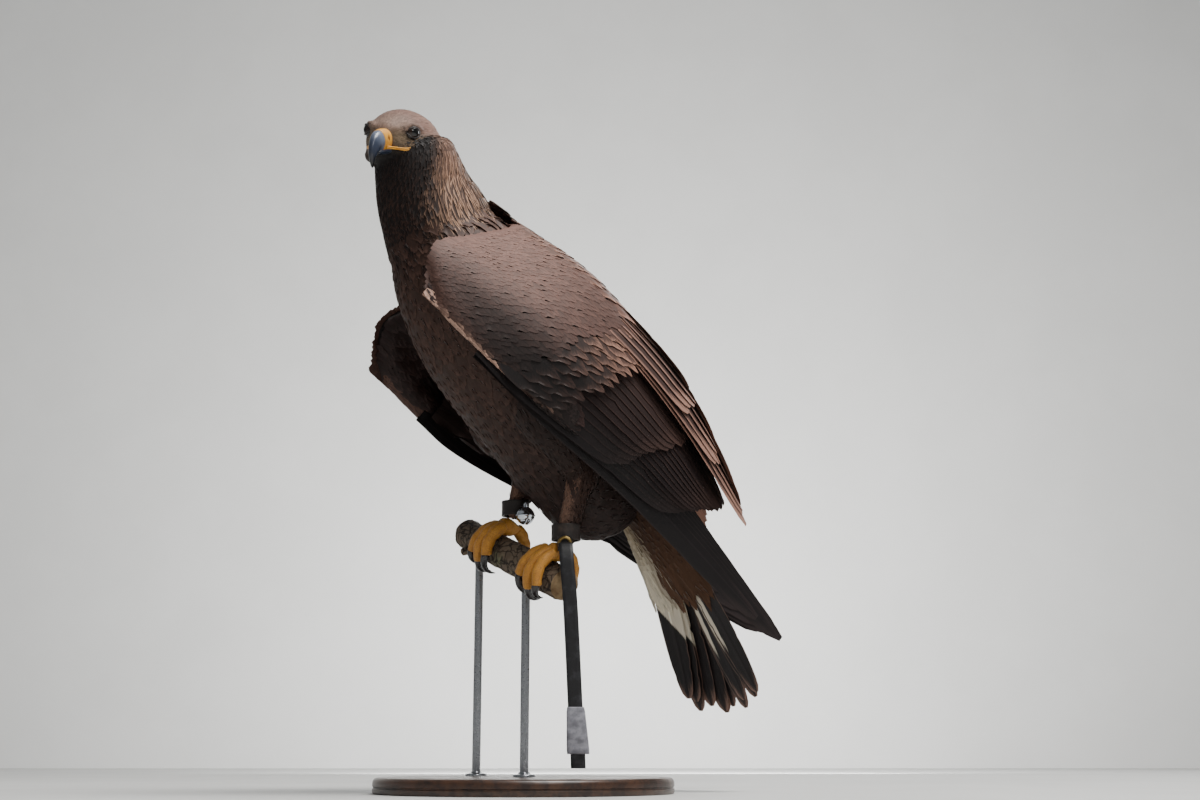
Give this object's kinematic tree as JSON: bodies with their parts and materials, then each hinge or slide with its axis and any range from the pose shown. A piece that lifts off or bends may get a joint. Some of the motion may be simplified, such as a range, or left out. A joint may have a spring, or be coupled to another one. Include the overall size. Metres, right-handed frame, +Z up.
{
  "type": "golden eagle figure",
  "caption": "Life-size golden eagle perched on a short branch, wings half drooped and head turned to its left, with leg straps and a bell, on a plain rod stand with a round base.",
  "frame": {"origin": "centre of the underside of the stand's round base", "axes": "+Z up, the bird's body faces -Y and its left side is +X"},
  "size_m": [0.3376, 0.585, 0.7876],
  "materials": {
    "head_feathers": "short, smooth feathers, light brown",
    "eye": "wet and clear, very dark brown",
    "cere_skin": "bare skin, waxy yellow",
    "bill_horn": "horn, blue-grey with a black tip",
    "neck_feathers": "pointed feathers with tawny edges",
    "body_feathers": "soft matte feathers, dark brown",
    "foot_skin": "scaled skin, yellow",
    "claw_horn": "horn, black",
    "wing_coverts": "smooth overlapping feathers, brown with paler edges",
    "flight_feathers": "stiff feathers with a faint sheen, nearly black",
    "tail_feathers": "stiff feathers, white at the root and nearly black to the tip",
    "tail_coverts": "soft feathers, brown",
    "anklet_leather": "greased leather, dark brown",
    "eyelet_brass": "dull",
    "strap_leather": "greased leather, black",
    "tape": "wrinkled cloth tape, grey",
    "bell_metal": "polished nickel",
    "perch_bark": "rough spruce bark with sawn ends",
    "rod_steel": "brushed",
    "base_wood": "stained wood, satin"
  },
  "bodies": {
    "root": {"head": "head_feathers", "eye_left": "eye", "gape_left": "cere_skin", "eye_right": "eye", "gape_right": "cere_skin", "cere": "cere_skin", "bill_upper": "bill_horn", "bill_lower": "bill_horn", "neck": "neck_feathers", "torso": "body_feathers", "thigh_left": "body_feathers", "tarsus_left": "body_feathers", "foot_left": "foot_skin", "claw_inner_left": "claw_horn", "claw_middle_left": "claw_horn", "claw_outer_left": "claw_horn", "claw_hind_left": "claw_horn", "thigh_right": "body_feathers", "tarsus_right": "body_feathers", "foot_right": "foot_skin", "claw_inner_right": "claw_horn", "claw_middle_right": "claw_horn", "claw_outer_right": "claw_horn", "claw_hind_right": "claw_horn", "wing_left_arm": "wing_coverts", "wing_left_secondaries": "flight_feathers", "wing_left_primaries": "flight_feathers", "wing_left_tertials": "wing_coverts", "scapulars_left": "wing_coverts", "wing_right_arm": "wing_coverts", "wing_right_secondaries": "flight_feathers", "wing_right_primaries": "flight_feathers", "wing_right_tertials": "wing_coverts", "scapulars_right": "wing_coverts", "tail": "tail_feathers", "tail_coverts_upper": "tail_coverts", "tail_coverts_lower": "tail_coverts", "anklet_left": "anklet_leather", "anklet_right": "anklet_leather", "eyelet": "eyelet_brass", "strap": "strap_leather", "strap_tape": "tape", "bell": "bell_metal", "stand_perch": "perch_bark", "stand_rod_1": "rod_steel", "stand_rod_2": "rod_steel", "stand_base": "base_wood"}
  },
  "joints": []
}
